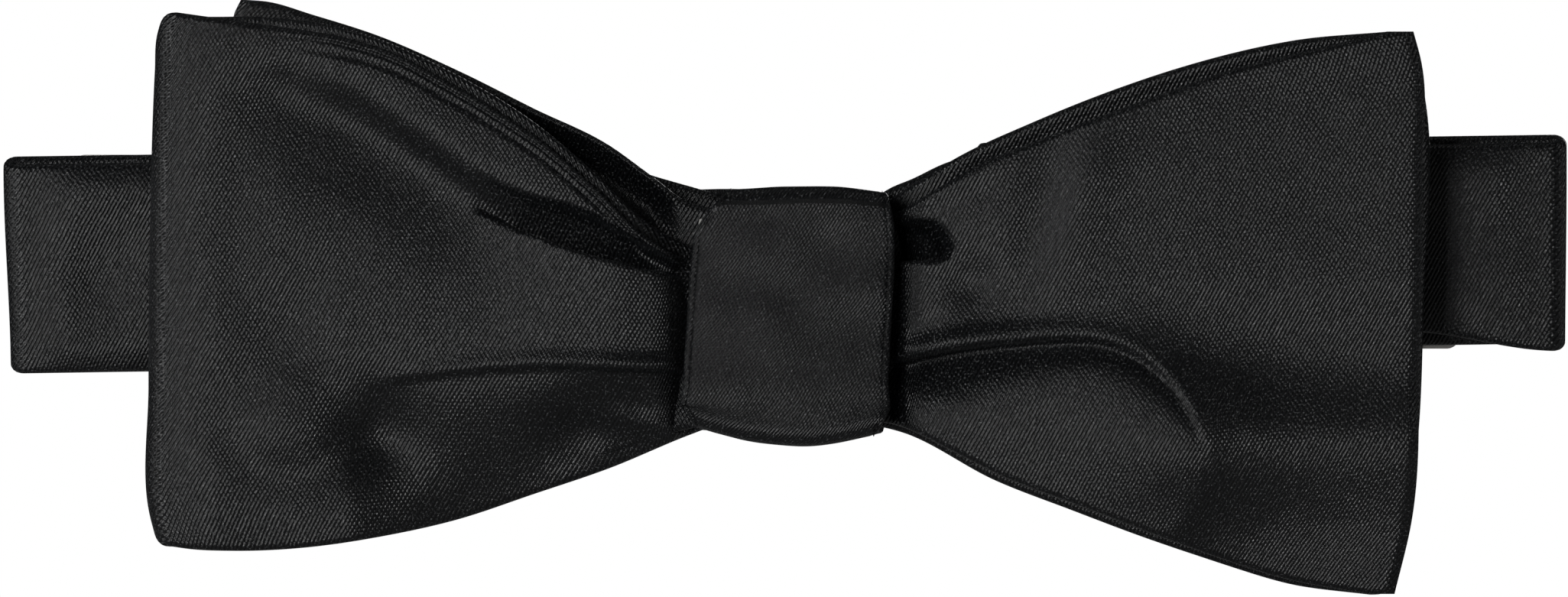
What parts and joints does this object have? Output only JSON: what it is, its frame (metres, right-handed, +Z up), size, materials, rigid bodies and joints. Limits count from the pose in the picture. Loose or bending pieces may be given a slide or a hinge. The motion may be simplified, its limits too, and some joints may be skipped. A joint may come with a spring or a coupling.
{
  "type": "bow tie",
  "caption": "Black satin bow tie with a wrapped knot and looped wings, on an adjustable neckband that lies folded flat behind it and closes with a hook and eye.",
  "frame": {"origin": "middle of the knot's back face, which bears on the collar", "axes": "+X to the right as seen from the front, +Y from the bow towards the neck, +Z up"},
  "size_m": [0.148, 0.0202, 0.0556],
  "materials": {
    "satin_silk": "fine twill satin with a soft sheen",
    "interlining": "matte woven canvas",
    "padding": "matte felt",
    "thread": "twisted polyester",
    "grosgrain_tape": "ribbed grosgrain",
    "nickel": "polished nickel plate"
  },
  "bodies": {
    "bow": {"front_blade_outer_silk": "satin_silk", "front_blade_inner_silk": "satin_silk", "front_blade_interlining": "interlining", "back_blade_outer_silk": "satin_silk", "back_blade_inner_silk": "satin_silk", "back_blade_interlining": "interlining", "waist_thread": "thread", "knot_padding": "padding", "knot_wrap_silk": "satin_silk", "knot_wrap_interlining": "interlining", "knot_stitches": "thread", "neckband_silk": "satin_silk", "neckband_interlining": "interlining", "left_outer_fold": "satin_silk", "right_outer_fold": "satin_silk"},
    "left_leaf": {"left_leaf_silk": "satin_silk", "left_leaf_interlining": "interlining", "left_inner_fold": "satin_silk"},
    "left_strap": {"left_silk_end": "satin_silk", "left_tape": "grosgrain_tape", "left_end_stitches": "thread", "left_bartack": "thread"},
    "eye_body": {"eye": "nickel"},
    "right_leaf": {"right_leaf_silk": "satin_silk", "right_leaf_interlining": "interlining", "right_inner_fold": "satin_silk"},
    "right_strap": {"right_silk_end": "satin_silk", "right_tape": "grosgrain_tape", "right_end_stitches": "thread"},
    "hook_loop": {"tape_turn": "grosgrain_tape", "tape_return": "grosgrain_tape"},
    "slider_body": {"slider": "nickel", "slider_wrap": "grosgrain_tape", "slider_bartack": "thread"},
    "hook_body": {"hook": "nickel"}
  },
  "joints": [
    {"name": "left_fold", "type": "hinge", "parent": "bow", "child": "left_leaf", "pos_m": [-0.0724, -0.0008, 0.006], "axis": [0, 0, 1], "range_deg": [0, 180], "deforming": ["left_outer_fold"]},
    {"name": "left_refold", "type": "hinge", "parent": "left_leaf", "child": "left_strap", "pos_m": [-0.02, 0.0014, 0.006], "axis": [0, 0, 1], "range_deg": [-180, 0], "deforming": ["left_inner_fold"]},
    {"name": "eye_swing", "type": "hinge", "parent": "left_strap", "child": "eye_body", "pos_m": [-0.058, 0.0038, 0.006], "axis": [0, 0, -1], "range_deg": [-10, 120]},
    {"name": "right_fold", "type": "hinge", "parent": "bow", "child": "right_leaf", "pos_m": [0.0724, -0.0008, 0.006], "axis": [0, 0, -1], "range_deg": [0, 180], "deforming": ["right_outer_fold"]},
    {"name": "right_refold", "type": "hinge", "parent": "right_leaf", "child": "right_strap", "pos_m": [0.02, 0.0014, 0.006], "axis": [0, 0, -1], "range_deg": [-180, 0], "deforming": ["right_inner_fold"]},
    {"name": "adjust", "type": "slide", "parent": "right_strap", "child": "hook_loop", "axis": [1, 0, 0], "range_m": [-0.0015, 0.008], "deforming": ["right_tape"]},
    {"name": "slider_slide", "type": "slide", "parent": "hook_loop", "child": "slider_body", "axis": [1, 0, 0], "range_m": [-0.0015, 0.008], "deforming": ["tape_return"]},
    {"name": "hook_swing", "type": "hinge", "parent": "hook_loop", "child": "hook_body", "pos_m": [0.058, 0.0038, 0.006], "axis": [0, 0, 1], "range_deg": [-10, 120]}
  ],
  "couplings": [
    {"joint": "left_refold", "follows": "left_fold", "ratio": -1},
    {"joint": "right_refold", "follows": "right_fold", "ratio": -1},
    {"joint": "slider_slide", "follows": "adjust", "ratio": 1}
  ]
}
